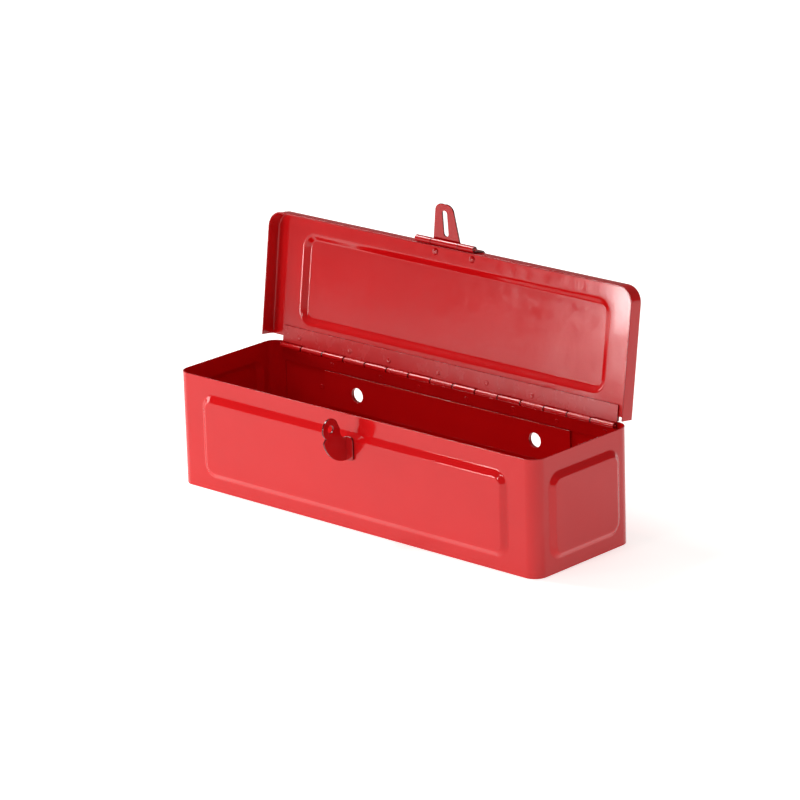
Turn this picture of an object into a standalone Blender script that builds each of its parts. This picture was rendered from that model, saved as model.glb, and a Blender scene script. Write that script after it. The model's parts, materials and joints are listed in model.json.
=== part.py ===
"""Pressed sheet-steel toolbox with a hinged lid, a hasp and a staple.

Units are metres, +Z is up, the front faces -Y and the origin is at the centre
of the underside. Lid and hasp are drawn as they lie when the box is shut, each
about its own joint axis, and their pivots then turn them to the open pose.
"""
import math

import bmesh
import bpy
from mathutils import Matrix, Vector

# Box
LENGTH = 0.4064
WIDTH = 0.12065
HEIGHT = 0.1016
SHEET = 0.0012
CORNER_RADIUS = 0.012
CORNER_RETURN = 0.002
SEAM_GAP = 0.0003

# Raised panels pressed into the front, the sides and the lid
PANEL_RAISE = 0.0035
PANEL_STEP = 0.0075
PANEL_CORNER = 0.014
PANEL_END_MARGIN = 0.029
PANEL_SIDE_MARGIN = 0.015
PANEL_TOP_MARGIN = 0.0138
PANEL_BOTTOM_MARGIN = 0.011
PANEL_SUNK = 0.0005

# Floor
FLOOR_SHEET = 0.0015

# Stiffening plate with the two mounting holes
STIFFENER_LENGTH = 0.281
STIFFENER_HEIGHT = 0.032
STIFFENER_SHEET = 0.002
MOUNT_HOLE = 0.013
MOUNT_SPACING = 0.2032
MOUNT_DEPTH = 0.033

# Hinge
KNUCKLES = 15
HINGE_END = 0.0127
KNUCKLE_GAP = 0.0004
BARREL_RADIUS = 0.0025
LEAF_SHEET = 0.001
LID_LEAF_HEIGHT = 0.0175
LEAF_CUTOUT = 0.0004
HINGE_PIN_RADIUS = 0.0011
PIN_CLEARANCE = 0.00035
LEAN_CLEARANCE = 0.0003
OPEN_ANGLE = math.radians(98.0)

# Lid
LID_CLEARANCE = 0.001
LID_RIM = 0.013
LID_FOLD = 0.0028
LID_RIM_SETBACK = 0.0075
LID_PANEL_FRONT_MARGIN = 0.015
LID_PANEL_REAR_MARGIN = 0.021
LID_PANEL_END_MARGIN = 0.031

# Hasp
HASP_LENGTH = 0.066
HASP_SHEET = 0.0015
HASP_TOP_FLANGE = 0.013
HASP_BARREL_RADIUS = 0.00285
HASP_PIN_RADIUS = 0.0015
HASP_PIVOT_DEPTH = 0.011
HASP_LEAN = math.radians(12.0)
TONGUE_ROOT_WIDTH = 0.030
TONGUE_TIP_WIDTH = 0.021
TONGUE_REACH = 0.0345
TONGUE_CORNER = 0.0075
SLOT_WIDTH = 0.0054
RIVET_SPACING = 0.0415
RIVET_SETBACK = 0.008
RIVET_SHANK = 0.0016
RIVET_HEAD = 0.0031
RIVET_RISE = 0.0014

# Staple
STAPLE_SHEET = 0.0018
STAPLE_FLANGE = 0.008
HORN_OUTER = 0.0273
HORN_INNER = 0.007
HORN_SLOT_CLEARANCE = 0.0014
HEAD_RADIUS = 0.0092
HEAD_REACH = 0.018
HEAD_RISE = 0.004
PADLOCK_HOLE = 0.0068
HORN_SHOULDER = math.radians(-14.0)
HORN_THROAT = math.radians(-8.0)
HEAD_END = math.radians(160.0)
HORN_TIP = math.radians(15.0)

GAP = 0.0003
ROUND = 6

# Places that follow from the sizes
AXIS_OFFSET = BARREL_RADIUS + GAP
HINGE_Y = WIDTH / 2 - SHEET - AXIS_OFFSET - LEAN_CLEARANCE
HINGE_Z = HEIGHT + GAP - AXIS_OFFSET
HINGE_AXIS = Vector((0, HINGE_Y, HINGE_Z))
STIFFENER_TOP = HEIGHT - MOUNT_DEPTH + STIFFENER_HEIGHT / 2
BOX_LEAF_HEIGHT = HINGE_Z - STIFFENER_TOP - GAP
HINGE_LENGTH = LENGTH - 2 * HINGE_END
KNUCKLE_PITCH = HINGE_LENGTH / KNUCKLES
LID_INNER_Z = HEIGHT + GAP
LEAN_BACK = OPEN_ANGLE - math.pi / 2
LID_HEEL = (LID_INNER_Z - HINGE_Z + (AXIS_OFFSET + SHEET) * math.sin(LEAN_BACK)) / math.cos(LEAN_BACK)
RIM_FACE_Y = -WIDTH / 2 - LID_CLEARANCE - SHEET
HASP_Y = RIM_FACE_Y - GAP - HASP_BARREL_RADIUS
HASP_Z = HEIGHT - HASP_PIVOT_DEPTH
HASP_AXIS = Vector((0, HASP_Y, HASP_Z))
TONGUE_OFFSET = HASP_BARREL_RADIUS - HASP_SHEET / 2
SLOT_START = HORN_INNER - HORN_SLOT_CLEARANCE
SLOT_END = HORN_OUTER + HORN_SLOT_CLEARANCE
PANEL_FACE_Y = -WIDTH / 2 - PANEL_RAISE

RED_PAINT = (0.53, 0.012, 0.014, 1)
DARK_RED_PAINT = (0.42, 0.009, 0.011, 1)
SIDES = (("left", -1), ("right", 1))


def clear_scene():
    for item in list(bpy.data.objects):
        bpy.data.objects.remove(item, do_unlink=True)


def new_collection(name):
    group = bpy.data.collections.new(name)
    bpy.context.scene.collection.children.link(group)
    return group


def paint(name, colour, roughness):
    coat = bpy.data.materials.new(name)
    coat.use_nodes = True
    shader = coat.node_tree.nodes["Principled BSDF"]
    shader.inputs["Base Color"].default_value = colour
    shader.inputs["Roughness"].default_value = roughness
    shader.inputs["Metallic"].default_value = 0.0
    return coat


def add_object(name, mesh, group):
    item = bpy.data.objects.new(name, mesh)
    group.objects.link(item)
    return item


def make_cutter(item):
    item.hide_render = True
    item.display_type = 'WIRE'


def boolean(item, other, operation):
    step = item.modifiers.new(operation.lower() + "_" + other.name, 'BOOLEAN')
    step.operation = operation
    step.object = other
    step.solver = 'EXACT'


def block(name, low, high, group, corner=0.0):
    """A box between two corners, its upright edges rounded."""
    shape = bmesh.new()
    bmesh.ops.create_cube(shape, size=1.0)
    low, high = Vector(low), Vector(high)
    size = high - low
    bmesh.ops.scale(shape, vec=size, verts=shape.verts)
    bmesh.ops.translate(shape, vec=(low + high) / 2, verts=shape.verts)
    if corner:
        upright = [e for e in shape.edges if abs(e.verts[0].co.z - e.verts[1].co.z) > size.z / 2]
        bmesh.ops.bevel(shape, geom=upright, offset=corner, segments=ROUND, affect='EDGES', profile=0.5)
    mesh = bpy.data.meshes.new(name)
    shape.to_mesh(mesh)
    shape.free()
    return add_object(name, mesh, group)


def rod(name, centre, radius, length, group, sides=24, axis='X'):
    """A cylinder centred on a point, along X or Z."""
    shape = bmesh.new()
    bmesh.ops.create_cone(shape, cap_ends=True, segments=sides, radius1=radius, radius2=radius, depth=length)
    if axis == 'X':
        bmesh.ops.rotate(shape, matrix=Matrix.Rotation(math.pi / 2, 3, 'Y'), verts=shape.verts)
    bmesh.ops.translate(shape, vec=centre, verts=shape.verts)
    mesh = bpy.data.meshes.new(name)
    shape.to_mesh(mesh)
    shape.free()
    return add_object(name, mesh, group)


def raised_panel(name, half_width, half_height, place, group):
    """A plug with a rounded rectangular foot and a smaller face standing out by PANEL_RAISE.

    It is drawn facing +Z with its foot on the XY plane; place then puts it on a wall.
    The slope runs on below the foot so that it crosses the wall's surface.
    """
    spread = PANEL_SUNK * PANEL_STEP / PANEL_RAISE
    plug = block(
        name, (-half_width - spread, -half_height - spread, -PANEL_SUNK - SHEET),
        (half_width + spread, half_height + spread, -PANEL_SUNK), group, corner=PANEL_CORNER + spread)
    shape = bmesh.new()
    shape.from_mesh(plug.data)
    top = max(shape.faces, key=lambda face: face.calc_area() * face.normal.z)
    bmesh.ops.inset_region(shape, faces=[top], thickness=PANEL_STEP + spread, depth=0.0, use_even_offset=True)
    bmesh.ops.translate(shape, vec=(0, 0, PANEL_RAISE + PANEL_SUNK), verts=top.verts)
    shape.to_mesh(plug.data)
    shape.free()
    plug.data.transform(place)
    return plug


def arc(centre, radius, start, end, count):
    """Points along a circle, from one angle to another, ends included."""
    return [
        (centre[0] + radius * math.cos(start + (end - start) * i / count),
         centre[1] + radius * math.sin(start + (end - start) * i / count))
        for i in range(count + 1)]


def circle(centre, radius, count=24):
    return arc(centre, radius, 0, 2 * math.pi * (count - 1) / count, count - 1)


def stadium(low, high, radius, count=8):
    """A slot along the second coordinate, with round ends."""
    top = arc((0, high - radius), radius, 0, math.pi, count)
    bottom = arc((0, low + radius), radius, math.pi, 2 * math.pi, count)
    return top + bottom


def plate(name, outlines, thickness, place, group):
    """A flat sheet from closed outlines, the first the edge and the rest holes."""
    drawing = bpy.data.curves.new(name, 'CURVE')
    drawing.dimensions = '2D'
    drawing.fill_mode = 'BOTH'
    drawing.extrude = thickness / 2
    for outline in outlines:
        line = drawing.splines.new('POLY')
        line.points.add(len(outline) - 1)
        for point, (u, v) in zip(line.points, outline):
            point.co = (u, v, 0, 1)
        line.use_cyclic_u = True
    sketch = add_object(name + "_sketch", drawing, group)
    graph = bpy.context.evaluated_depsgraph_get()
    mesh = bpy.data.meshes.new_from_object(sketch.evaluated_get(graph))
    bpy.data.objects.remove(sketch, do_unlink=True)
    shape = bmesh.new()
    shape.from_mesh(mesh)
    bmesh.ops.remove_doubles(shape, verts=shape.verts, dist=0.00001)
    bmesh.ops.recalc_face_normals(shape, faces=shape.faces)
    shape.to_mesh(mesh)
    shape.free()
    mesh.transform(place)
    return add_object(name, mesh, group)


# Local XY laid on a wall: first coordinate, second coordinate, thickness direction
ACROSS = Matrix(((0, 0, 1, 0), (1, 0, 0, 0), (0, 1, 0, 0), (0, 0, 0, 1)))     # Y, Z, X
UPRIGHT = Matrix(((1, 0, 0, 0), (0, 0, -1, 0), (0, 1, 0, 0), (0, 0, 0, 1)))   # X, Z, -Y


def at(x, y, z, turn=Matrix.Identity(4)):
    return Matrix.Translation((x, y, z)) @ turn


def finish(item, coat):
    item.data.materials.clear()
    item.data.materials.append(coat)


def wall_solid(name, inset, group):
    """The box's outer form with its three raised panels, drawn smaller by inset."""
    low_z, high_z = (0.0, HEIGHT) if inset == 0 else (-SHEET, HEIGHT + SHEET)
    solid = block(
        name, (-LENGTH / 2 + inset, -WIDTH / 2 + inset, low_z),
        (LENGTH / 2 - inset, WIDTH / 2 - inset, high_z), group, corner=CORNER_RADIUS - inset)
    middle = (PANEL_BOTTOM_MARGIN + HEIGHT - PANEL_TOP_MARGIN) / 2
    half_height = (HEIGHT - PANEL_TOP_MARGIN - PANEL_BOTTOM_MARGIN) / 2
    front = raised_panel(
        name + "_front_panel", LENGTH / 2 - PANEL_END_MARGIN, half_height,
        at(0, -WIDTH / 2 + inset, middle, UPRIGHT), group)
    side_turn = Matrix.Rotation(math.pi / 2, 4, 'Z') @ UPRIGHT
    right = raised_panel(
        name + "_right_panel", WIDTH / 2 - PANEL_SIDE_MARGIN, half_height,
        at(LENGTH / 2 - inset, 0, middle, side_turn), group)
    left = raised_panel(
        name + "_left_panel", WIDTH / 2 - PANEL_SIDE_MARGIN, half_height,
        at(-LENGTH / 2 + inset, 0, middle, Matrix.Rotation(-math.pi / 2, 4, 'Z') @ UPRIGHT), group)
    for panel in (front, right, left):
        boolean(solid, panel, 'UNION')
        make_cutter(panel)
    return solid


def mount_holes():
    """Outlines of the two holes in the back, as X and Z."""
    return [circle((side * MOUNT_SPACING / 2, HEIGHT - MOUNT_DEPTH), MOUNT_HOLE / 2) for _, side in SIDES]


def box_walls(parts, cutters, coat):
    """Front, sides and all four rounded corners, wrapped from one sheet."""
    wrapper = wall_solid("box_wrapper", 0.0, cutters)
    cutters.objects.unlink(wrapper)
    parts.objects.link(wrapper)
    hollow = wall_solid("box_hollow", SHEET, cutters)
    boolean(wrapper, hollow, 'DIFFERENCE')
    back_edge = LENGTH / 2 - CORNER_RADIUS - CORNER_RETURN
    window = block(
        "back_window", (-back_edge, 0.0, -SHEET), (back_edge, WIDTH, HEIGHT + SHEET), cutters)
    boolean(wrapper, window, 'DIFFERENCE')
    make_cutter(hollow)
    make_cutter(window)
    finish(wrapper, coat)

    holes = mount_holes()
    half = back_edge - SEAM_GAP
    back = plate(
        "back_wall", [[(-half, 0), (half, 0), (half, HEIGHT), (-half, HEIGHT)]] + holes,
        SHEET, at(0, WIDTH / 2 - SHEET / 2, 0, UPRIGHT), parts)
    finish(back, coat)


def floor_plate(parts, coat):
    """A flat sheet laid between the walls, level with their lower edges."""
    inset = SHEET + GAP
    floor = block(
        "floor_plate", (-LENGTH / 2 + inset, -WIDTH / 2 + inset, 0),
        (LENGTH / 2 - inset, WIDTH / 2 - inset, FLOOR_SHEET), parts, corner=CORNER_RADIUS - inset)
    finish(floor, coat)


def stiffener(parts, coat):
    half = STIFFENER_LENGTH / 2
    low = STIFFENER_TOP - STIFFENER_HEIGHT
    edge = [(-half, low), (half, low), (half, STIFFENER_TOP), (-half, STIFFENER_TOP)]
    strip = plate(
        "stiffener_plate", [edge] + mount_holes(), STIFFENER_SHEET,
        at(0, WIDTH / 2 - SHEET - GAP - STIFFENER_SHEET / 2, 0, UPRIGHT), parts)
    finish(strip, coat)


def hinge_leaf(name, height, own_first, side, parts, cutters, coat):
    """A leaf hanging down from its axis, which is at the object's origin.

    The sheet is tangent to the barrel on its +Y side where side is 1, and on its
    -Y side where it is -1. own_first says whether the first knuckle, counted
    from -X, belongs to this leaf.
    """
    clear = BARREL_RADIUS + LEAF_CUTOUT
    start = -HINGE_LENGTH / 2
    edge = [(start, -height), (-start, -height)]
    barrels = []
    for i in reversed(range(KNUCKLES)):
        low, high = start + i * KNUCKLE_PITCH, start + (i + 1) * KNUCKLE_PITCH
        if (i % 2 == 0) == own_first:
            inner_low = low + (KNUCKLE_GAP / 2 if i else 0)
            inner_high = high - (KNUCKLE_GAP / 2 if i < KNUCKLES - 1 else 0)
            edge += [(inner_high, -clear), (inner_high, 0), (inner_low, 0), (inner_low, -clear)]
            barrels.append((inner_low, inner_high))
    if not own_first:
        edge += [(start, -clear)]
        edge.insert(2, (-start, -clear))
    leaf = plate(
        name, [edge], LEAF_SHEET, at(0, side * (BARREL_RADIUS - LEAF_SHEET / 2), 0, UPRIGHT), parts)
    for i, (low, high) in enumerate(barrels):
        knuckle = rod(
            f"{name}_knuckle_{i + 1}", ((low + high) / 2, 0, 0), BARREL_RADIUS, high - low, cutters, sides=20)
        boolean(leaf, knuckle, 'UNION')
        make_cutter(knuckle)
    bore = rod(
        name + "_bore", (0, 0, 0), HINGE_PIN_RADIUS + PIN_CLEARANCE, HINGE_LENGTH + KNUCKLE_PITCH,
        cutters, sides=16)
    boolean(leaf, bore, 'DIFFERENCE')
    make_cutter(bore)
    finish(leaf, coat)
    return leaf


def lid_solid(name, inset, group):
    """The shut lid's outer form above its rim, drawn smaller by inset."""
    side = LENGTH / 2 + LID_CLEARANCE + SHEET - inset
    front = RIM_FACE_Y + inset
    top = LID_INNER_Z + SHEET - inset
    bottom = LID_INNER_Z - LID_RIM - (SHEET if inset else 0)
    rear = WIDTH
    corner = CORNER_RADIUS + LID_CLEARANCE + SHEET - inset
    solid = block(name, (-side, front, bottom), (side, rear, top), group, corner=corner)
    shape = bmesh.new()
    shape.from_mesh(solid.data)
    fold = [e for e in shape.edges if all(v.co.z > top - GAP for v in e.verts)]
    bmesh.ops.bevel(shape, geom=fold, offset=LID_FOLD - inset, segments=4, affect='EDGES', profile=0.5)
    shape.to_mesh(solid.data)
    shape.free()
    rear_edge = HINGE_Y - LID_PANEL_REAR_MARGIN
    front_edge = RIM_FACE_Y + LID_PANEL_FRONT_MARGIN
    panel = raised_panel(
        name + "_panel", LENGTH / 2 + LID_CLEARANCE + SHEET - LID_PANEL_END_MARGIN,
        (rear_edge - front_edge) / 2, at(0, (rear_edge + front_edge) / 2, top), group)
    boolean(solid, panel, 'UNION')
    make_cutter(panel)
    return solid


def lid_pan(parts, cutters, coat):
    lid = lid_solid("lid_pan", 0.0, cutters)
    cutters.objects.unlink(lid)
    parts.objects.link(lid)
    hollow = lid_solid("lid_hollow", SHEET, cutters)
    boolean(lid, hollow, 'DIFFERENCE')
    reach = LENGTH
    heel = block(
        "lid_heel_cut", (-reach, HINGE_Y - LID_HEEL, 0), (reach, 2 * WIDTH, 2 * HEIGHT), cutters)
    boolean(lid, heel, 'DIFFERENCE')
    cuts = [hollow, heel]
    for word, side in SIDES:
        inner, outer = side * (HINGE_LENGTH / 2 + GAP), side * reach
        notch = block(
            f"lid_corner_cut_{word}",
            (min(inner, outer), HINGE_Y - LID_RIM_SETBACK, 0),
            (max(inner, outer), 2 * WIDTH, 2 * HEIGHT), cutters)
        boolean(lid, notch, 'DIFFERENCE')
        cuts.append(notch)
    for word, side in SIDES:
        hole = rod(
            f"lid_rivet_hole_{word}", (side * RIVET_SPACING / 2, rivet_y(), LID_INNER_Z),
            RIVET_SHANK + GAP, 4 * LID_FOLD, cutters, axis='Z')
        boolean(lid, hole, 'DIFFERENCE')
        cuts.append(hole)
    for cut in cuts:
        make_cutter(cut)
    finish(lid, coat)
    return [lid] + cuts + [c for c in cutters.objects if c.name in ("lid_pan_panel", "lid_hollow_panel")]


def rivet_y():
    return RIM_FACE_Y + RIVET_SETBACK


def hasp_plate(parts, cutters, coat):
    """An angle folded over the lid's front edge, with a knuckle at each end of its lower edge."""
    inner_radius = LID_FOLD + GAP
    outer_radius = inner_radius + HASP_SHEET
    back = RIM_FACE_Y - GAP
    under = LID_INNER_Z + SHEET + GAP
    bend = (back + inner_radius, under - inner_radius)
    rear = RIM_FACE_Y + HASP_TOP_FLANGE
    outline = [(rear, under), (rear, under + HASP_SHEET)]
    outline += arc(bend, outer_radius, math.pi / 2, math.pi, ROUND)
    outline += [(back - HASP_SHEET, HASP_Z), (back, HASP_Z)]
    outline += arc(bend, inner_radius, math.pi, math.pi / 2, ROUND)
    angle = plate("hasp_plate", [outline], HASP_LENGTH, ACROSS, parts)
    tongue_room = TONGUE_ROOT_WIDTH / 2 + KNUCKLE_GAP
    cuts = []
    for word, side in SIDES:
        width = HASP_LENGTH / 2 - tongue_room
        knuckle = rod(
            f"hasp_knuckle_{word}", (side * (tongue_room + width / 2), HASP_Y, HASP_Z),
            HASP_BARREL_RADIUS, width, cutters, sides=20)
        boolean(angle, knuckle, 'UNION')
        cuts.append(knuckle)
    room = rod(
        "hasp_tongue_room", HASP_AXIS, HASP_BARREL_RADIUS + LEAF_CUTOUT, 2 * tongue_room, cutters, sides=20)
    bore = rod(
        "hasp_bore", HASP_AXIS, HASP_PIN_RADIUS + PIN_CLEARANCE, 2 * HASP_LENGTH, cutters, sides=16)
    swing = block(
        "hasp_tongue_gate", (-tongue_room, HASP_Y - HASP_BARREL_RADIUS, HASP_Z - HASP_BARREL_RADIUS),
        (tongue_room, RIM_FACE_Y, HASP_Z + HASP_BARREL_RADIUS + LEAF_CUTOUT), cutters)
    cuts += [room, bore, swing]
    for cut in (room, bore, swing):
        boolean(angle, cut, 'DIFFERENCE')
    for word, side in SIDES:
        hole = rod(
            f"hasp_rivet_hole_{word}", (side * RIVET_SPACING / 2, rivet_y(), under), RIVET_SHANK + GAP,
            4 * HASP_SHEET, cutters, axis='Z')
        boolean(angle, hole, 'DIFFERENCE')
        cuts.append(hole)
    for cut in cuts:
        make_cutter(cut)
    finish(angle, coat)
    return [angle] + cuts


def hasp_rivet(name, x, parts, coat):
    """A round-headed rivet through the lid and the hasp plate, turned about its own axis."""
    low = LID_INNER_Z - GAP
    high = LID_INNER_Z + SHEET + GAP + HASP_SHEET + GAP
    angles = [i * math.pi / 2 / ROUND for i in range(ROUND + 1)]
    dome = [(RIVET_HEAD * math.cos(a), RIVET_RISE * math.sin(a)) for a in angles]
    profile = [(r, high + h) for r, h in reversed(dome)]
    profile += [(RIVET_SHANK, high), (RIVET_SHANK, low)]
    profile += [(r, low - h) for r, h in dome]
    mesh = bpy.data.meshes.new(name)
    points = [(max(r, 0.0), 0.0, z) for r, z in profile]
    mesh.from_pydata(points, [(i, i + 1) for i in range(len(points) - 1)], [])
    rivet = add_object(name, mesh, parts)
    turn = rivet.modifiers.new("turn", 'SCREW')
    turn.steps = turn.render_steps = 16
    turn.use_merge_vertices = True
    turn.merge_threshold = 0.00005
    finish(rivet, coat)
    return place_mesh(rivet, x, rivet_y())


def place_mesh(item, x, y):
    """Evaluate the modifiers and put the mesh itself at x, y."""
    graph = bpy.context.evaluated_depsgraph_get()
    mesh = bpy.data.meshes.new_from_object(item.evaluated_get(graph))
    item.modifiers.clear()
    item.data = mesh
    shape = bmesh.new()
    shape.from_mesh(mesh)
    bmesh.ops.remove_doubles(shape, verts=shape.verts, dist=0.00001)
    bmesh.ops.recalc_face_normals(shape, faces=shape.faces)
    shape.to_mesh(mesh)
    shape.free()
    mesh.transform(Matrix.Translation((x, y, 0)))
    return item


def hasp_tongue(parts, cutters, coat):
    """The slotted tongue, drawn hanging straight down from its axis at the origin."""
    root, tip = TONGUE_ROOT_WIDTH / 2, TONGUE_TIP_WIDTH / 2
    corner = TONGUE_CORNER
    edge = [(root, 0)]
    edge += arc((tip - corner, -TONGUE_REACH + corner), corner, 0, -math.pi / 2, ROUND)
    edge += arc((-tip + corner, -TONGUE_REACH + corner), corner, -math.pi / 2, -math.pi, ROUND)
    edge += [(-root, 0)]
    slot = stadium(-SLOT_END, -SLOT_START, SLOT_WIDTH / 2)
    tongue = plate(
        "hasp_tongue", [edge, slot], HASP_SHEET, at(0, -TONGUE_OFFSET, 0, UPRIGHT), parts)
    barrel = rod("tongue_barrel", (0, 0, 0), HASP_BARREL_RADIUS, TONGUE_ROOT_WIDTH, cutters, sides=20)
    bore = rod("tongue_bore", (0, 0, 0), HASP_PIN_RADIUS + PIN_CLEARANCE, 2 * HASP_LENGTH, cutters, sides=16)
    boolean(tongue, barrel, 'UNION')
    boolean(tongue, bore, 'DIFFERENCE')
    for cut in (barrel, bore):
        make_cutter(cut)
    finish(tongue, coat)
    return [tongue, barrel, bore]


def horn_outline():
    """The staple's outline about the hasp axis: outwards from the box, then up.

    Its long edges are arcs about that axis, so the slotted tongue can swing over it.
    """
    base = HASP_Y - PANEL_FACE_Y + GAP      # the panel, seen from the axis
    outer_start = -math.acos(base / HORN_OUTER)
    inner_end = -math.acos(base / HORN_INNER)
    head = (HEAD_REACH, HEAD_RISE)
    distance, lift = math.hypot(*head), math.atan2(head[1], head[0])
    off = HORN_THROAT - lift
    ray = distance * math.cos(off) + math.sqrt(HEAD_RADIUS ** 2 - (distance * math.sin(off)) ** 2)
    meet = math.atan2(ray * math.sin(HORN_THROAT) - head[1], ray * math.cos(HORN_THROAT) - head[0])
    outline = arc((0, 0), HORN_OUTER, outer_start, HORN_SHOULDER, 2 * ROUND)
    outline += arc(head, HEAD_RADIUS, meet, HEAD_END, 3 * ROUND)
    outline += arc((0, 0), HORN_INNER, HORN_TIP, inner_end, 2 * ROUND)
    return outline


def staple(parts, cutters, coat):
    """A horn standing off the front panel, with a foot turned flat against the panel."""
    outline = [(HASP_Y - u, HASP_Z + v) for u, v in horn_outline()]
    hole = circle((HASP_Y - HEAD_REACH, HASP_Z + HEAD_RISE), PADLOCK_HOLE / 2, 16)
    horn = plate("staple", [outline, hole], STAPLE_SHEET, ACROSS, parts)
    top = max(v for u, v in outline if u > PANEL_FACE_Y - GAP * 2)
    bottom = min(v for u, v in outline if u > PANEL_FACE_Y - GAP * 2)
    foot = block(
        "staple_foot", (-STAPLE_SHEET / 2, PANEL_FACE_Y - GAP - STAPLE_SHEET, bottom),
        (STAPLE_FLANGE, PANEL_FACE_Y - GAP, top), cutters)
    boolean(horn, foot, 'UNION')
    make_cutter(foot)
    finish(horn, coat)


def hang(pivot, items, axis):
    """Give each item its origin on the axis and parent it to the pivot."""
    for item in items:
        item.data.transform(Matrix.Translation(-axis))
        item.parent = pivot


def new_pivot(name, group, place, turn, parent=None):
    pivot = bpy.data.objects.new(name, None)
    group.objects.link(pivot)
    pivot.location = place
    pivot.rotation_euler = (turn, 0, 0)
    pivot.parent = parent
    return pivot


def main():
    clear_scene()
    parts = new_collection("toolbox")
    cutters = new_collection("toolbox_cutters")
    gloss = paint("red gloss paint", RED_PAINT, 0.25)
    dark = paint("red paint on hardware", DARK_RED_PAINT, 0.3)

    box_walls(parts, cutters, gloss)
    floor_plate(parts, gloss)
    stiffener(parts, gloss)
    staple(parts, cutters, dark)

    box_leaf = hinge_leaf("hinge_box_leaf", BOX_LEAF_HEIGHT, True, 1, parts, cutters, gloss)
    pin = rod("hinge_pin", (0, 0, 0), HINGE_PIN_RADIUS, HINGE_LENGTH, parts, sides=12)
    finish(pin, dark)
    for item in [box_leaf, pin] + [c for c in cutters.objects if c.name.startswith("hinge_box_leaf_")]:
        item.location = HINGE_AXIS

    lid_pivot = new_pivot("lid_pivot", parts, HINGE_AXIS, -OPEN_ANGLE)
    hang(lid_pivot, lid_pan(parts, cutters, gloss), HINGE_AXIS)
    lid_leaf = hinge_leaf("hinge_lid_leaf", LID_LEAF_HEIGHT, False, -1, parts, cutters, gloss)
    for item in [lid_leaf] + [c for c in cutters.objects if c.name.startswith("hinge_lid_leaf_")]:
        item.rotation_euler = (-math.pi / 2, 0, 0)
        item.parent = lid_pivot
    hang(lid_pivot, hasp_plate(parts, cutters, dark), HINGE_AXIS)
    for word, side in SIDES:
        rivet = hasp_rivet("hasp_rivet_" + word, side * RIVET_SPACING / 2, parts, dark)
        hang(lid_pivot, [rivet], HINGE_AXIS)
    hasp_pin = rod("hasp_pin", (0, 0, 0), HASP_PIN_RADIUS, HASP_LENGTH, parts, sides=16)
    finish(hasp_pin, dark)
    hasp_pin.location = HASP_AXIS - HINGE_AXIS
    hasp_pin.parent = lid_pivot

    hasp_pivot = new_pivot(
        "hasp_pivot", parts, HASP_AXIS - HINGE_AXIS, -(math.pi / 2 - HASP_LEAN), lid_pivot)
    for item in hasp_tongue(parts, cutters, dark):
        item.parent = hasp_pivot


main()
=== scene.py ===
import json
import math

import bmesh
import bpy
from mathutils import Matrix, Vector


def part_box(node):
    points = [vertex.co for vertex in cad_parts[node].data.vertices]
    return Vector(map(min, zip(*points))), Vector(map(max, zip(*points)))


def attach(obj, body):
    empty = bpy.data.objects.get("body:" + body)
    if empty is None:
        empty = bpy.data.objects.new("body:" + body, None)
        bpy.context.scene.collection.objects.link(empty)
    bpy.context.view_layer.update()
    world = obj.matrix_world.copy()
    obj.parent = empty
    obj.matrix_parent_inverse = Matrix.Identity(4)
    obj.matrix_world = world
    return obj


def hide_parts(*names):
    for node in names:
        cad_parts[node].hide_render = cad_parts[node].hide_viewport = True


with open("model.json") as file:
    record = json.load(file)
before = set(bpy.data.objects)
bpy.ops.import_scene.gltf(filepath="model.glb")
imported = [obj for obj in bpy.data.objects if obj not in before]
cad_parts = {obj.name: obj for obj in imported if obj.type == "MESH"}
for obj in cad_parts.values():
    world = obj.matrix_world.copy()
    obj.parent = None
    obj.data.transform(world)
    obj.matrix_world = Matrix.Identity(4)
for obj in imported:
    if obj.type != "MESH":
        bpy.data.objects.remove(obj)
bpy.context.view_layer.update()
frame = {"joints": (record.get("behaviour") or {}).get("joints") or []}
mm = 0.001

joints = {joint["name"]: joint for joint in frame["joints"]}
hingeAxis = Vector(joints["lid_hinge"]["pos_m"])
haspAxis = Vector(joints["hasp_pivot"]["pos_m"])
openAngle = math.radians(joints["lid_hinge"]["range_deg"][1])
hangAngle = math.radians(joints["hasp_pivot"]["range_deg"][1])
# The lid's pieces are drawn with the lid shut and then turned to where it leans open
opened = Matrix.Translation(hingeAxis) @ Matrix.Rotation(-openAngle, 4, 'X') @ Matrix.Translation(-hingeAxis)
shutHaspAxis = opened.inverted() @ haspAxis
# The tongue is drawn hanging from the origin
tongueUp = Matrix.Translation(haspAxis) @ Matrix.Rotation(-openAngle - hangAngle, 4, 'X')

gap = 0.3 * mm          # between pieces that are welded on the real box
sheet = 1.2 * mm        # gauge of the box and the lid
near = 0.01 * mm        # corners closer than this are one
rollShare = 0.98        # a rolled strip is a hair thinner than the leaf it runs into
edging = {"segments": 3, "angle": 50, "facing": 0.5, "flatAngle": 0.01}
pressing = {"rise": 3.5 * mm, "step": 7.5 * mm, "corner": 14 * mm, "bend": 0.3, "rings": 14}

wrapLow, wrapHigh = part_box("box_wrapper")
halfLength = wrapHigh.x - pressing["rise"]
frontY = wrapLow.y + pressing["rise"]
backY = wrapHigh.y
height = wrapHigh.z


def toLinear(hexColour):
    parts = [int(hexColour[i:i + 2], 16) / 255 for i in (1, 3, 5)]
    return [c / 12.92 if c <= 0.04045 else ((c + 0.055) / 1.055) ** 2.4 for c in parts] + [1.0]


def add(tree, kind, inputs=None, **settings):
    node = tree.nodes.new(kind)
    for key, value in settings.items():
        setattr(node, key, value)
    for key, value in (inputs or {}).items():
        if isinstance(value, bpy.types.NodeSocket):
            tree.links.new(value, node.inputs[key])
        else:
            node.inputs[key].default_value = value
    return node


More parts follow.
